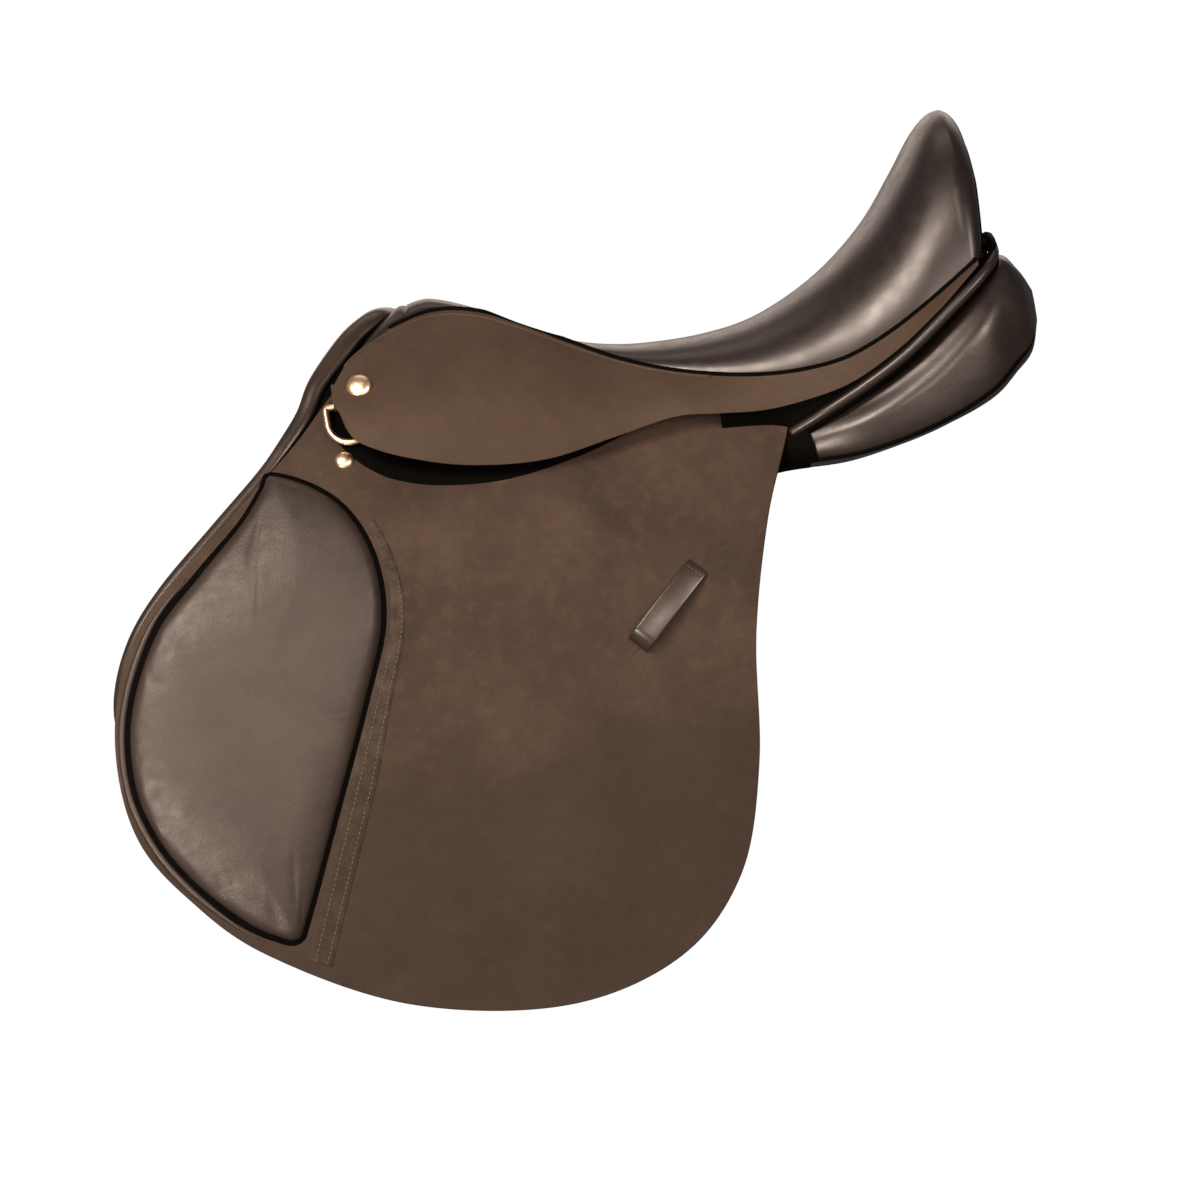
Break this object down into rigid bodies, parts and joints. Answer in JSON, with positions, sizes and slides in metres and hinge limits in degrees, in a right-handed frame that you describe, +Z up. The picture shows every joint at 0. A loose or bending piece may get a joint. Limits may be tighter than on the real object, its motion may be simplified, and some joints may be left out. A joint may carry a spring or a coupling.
{
  "type": "english saddle",
  "caption": "General-purpose english riding saddle with a sprung tree, deep leather seat, skirts, forward flaps with knee pads, girth straps and a flocked panel.",
  "frame": {"origin": "midway between the two panels, on the line of the horse's back below the deepest part of the seat", "axes": "+X to the cantle (rear), +Y to the off (right) side, +Z up, as the saddle sits level on a horse"},
  "size_m": [0.6582, 0.2946, 0.544],
  "materials": {
    "beech": "varnished",
    "steel": "satin",
    "brass": "polished",
    "foam": "matt",
    "canvas": "matt",
    "seat_leather": "waxed",
    "skirt_leather": "waxed",
    "welt_leather": "waxed",
    "panel_leather": "soft",
    "pad_leather": "soft",
    "strap_leather": "waxed",
    "flap_leather": "fine grain"
  },
  "bodies": {
    "saddle": {"tree_head": "beech", "head_plate": "steel", "tree_cantle": "beech", "bar_rivets": "steel", "seat_web": "canvas", "seat_foam": "foam", "seat_cover": "seat_leather", "cantle_back": "skirt_leather", "panel_front_roll": "welt_leather", "panel_welt": "welt_leather", "skirt_nails": "brass", "flap_studs": "brass", "tree_bar_left": "beech", "tree_bar_right": "beech", "tree_spring_left": "steel", "tree_spring_right": "steel", "stirrup_bar_left": "steel", "stirrup_bar_right": "steel", "catch_pin_left": "steel", "catch_pin_right": "steel", "girth_web_left": "canvas", "girth_web_right": "canvas", "skirt_root_left": "skirt_leather", "skirt_root_right": "skirt_leather", "flap_top_left": "flap_leather", "flap_top_right": "flap_leather", "d_chape_left": "strap_leather", "d_chape_right": "strap_leather", "panel_left": "panel_leather", "panel_right": "panel_leather", "sweat_flap_left": "panel_leather", "sweat_flap_right": "panel_leather", "knee_roll_left": "panel_leather", "knee_roll_right": "panel_leather"},
    "near_flap": {"flap_left": "flap_leather", "knee_pad_left": "pad_leather", "keeper_left": "strap_leather"},
    "near_skirt": {"skirt_left": "skirt_leather"},
    "near_d_ring": {"d_ring_left": "brass"},
    "near_straps": {"girth_strap_left_1": "strap_leather", "girth_strap_left_2": "strap_leather", "girth_strap_left_3": "strap_leather"},
    "near_guard": {"buckle_guard_left": "strap_leather"},
    "near_catch": {"bar_catch_left": "steel"},
    "off_flap": {"flap_right": "flap_leather", "knee_pad_right": "pad_leather", "keeper_right": "strap_leather"},
    "off_skirt": {"skirt_right": "skirt_leather"},
    "off_d_ring": {"d_ring_right": "brass"},
    "off_straps": {"girth_strap_right_1": "strap_leather", "girth_strap_right_2": "strap_leather", "girth_strap_right_3": "strap_leather"},
    "off_guard": {"buckle_guard_right": "strap_leather"},
    "off_catch": {"bar_catch_right": "steel"}
  },
  "joints": [
    {"name": "near_flap_lift", "type": "hinge", "parent": "saddle", "child": "near_flap", "pos_m": [-0.26, -0.099, 0.03], "axis": [-0.9971, 0.0305, 0.0692], "range_deg": [0, 75]},
    {"name": "near_skirt_lift", "type": "hinge", "parent": "saddle", "child": "near_skirt", "pos_m": [-0.185, -0.093, 0.084], "axis": [-0.9802, 0.0957, 0.1732], "range_deg": [0, 65]},
    {"name": "near_d_ring_swing", "type": "hinge", "parent": "saddle", "child": "near_d_ring", "pos_m": [-0.185, -0.08, 0.084], "axis": [-1, 0, 0], "range_deg": [-3, 15]},
    {"name": "near_straps_swing", "type": "hinge", "parent": "saddle", "child": "near_straps", "pos_m": [-0.068, -0.095, 0.024], "axis": [0, 1, 0], "range_deg": [-5, 5]},
    {"name": "near_guard_slide", "type": "slide", "parent": "near_straps", "child": "near_guard", "axis": [0, 0, -1], "range_m": [0, 0.085]},
    {"name": "near_catch_turn", "type": "hinge", "parent": "saddle", "child": "near_catch", "pos_m": [-0.051, -0.0975, 0.064], "axis": [0, -1, 0], "range_deg": [0, 40]},
    {"name": "off_flap_lift", "type": "hinge", "parent": "saddle", "child": "off_flap", "pos_m": [-0.26, 0.099, 0.03], "axis": [0.9971, 0.0305, -0.0692], "range_deg": [0, 75]},
    {"name": "off_skirt_lift", "type": "hinge", "parent": "saddle", "child": "off_skirt", "pos_m": [-0.185, 0.093, 0.084], "axis": [0.9802, 0.0957, -0.1732], "range_deg": [0, 65]},
    {"name": "off_d_ring_swing", "type": "hinge", "parent": "saddle", "child": "off_d_ring", "pos_m": [-0.185, 0.08, 0.084], "axis": [1, 0, 0], "range_deg": [-3, 15]},
    {"name": "off_straps_swing", "type": "hinge", "parent": "saddle", "child": "off_straps", "pos_m": [-0.068, 0.095, 0.024], "axis": [0, 1, 0], "range_deg": [-5, 5]},
    {"name": "off_guard_slide", "type": "slide", "parent": "off_straps", "child": "off_guard", "axis": [0, 0, -1], "range_m": [0, 0.085]},
    {"name": "off_catch_turn", "type": "hinge", "parent": "saddle", "child": "off_catch", "pos_m": [-0.051, 0.0975, 0.064], "axis": [0, -1, 0], "range_deg": [0, 40]}
  ]
}
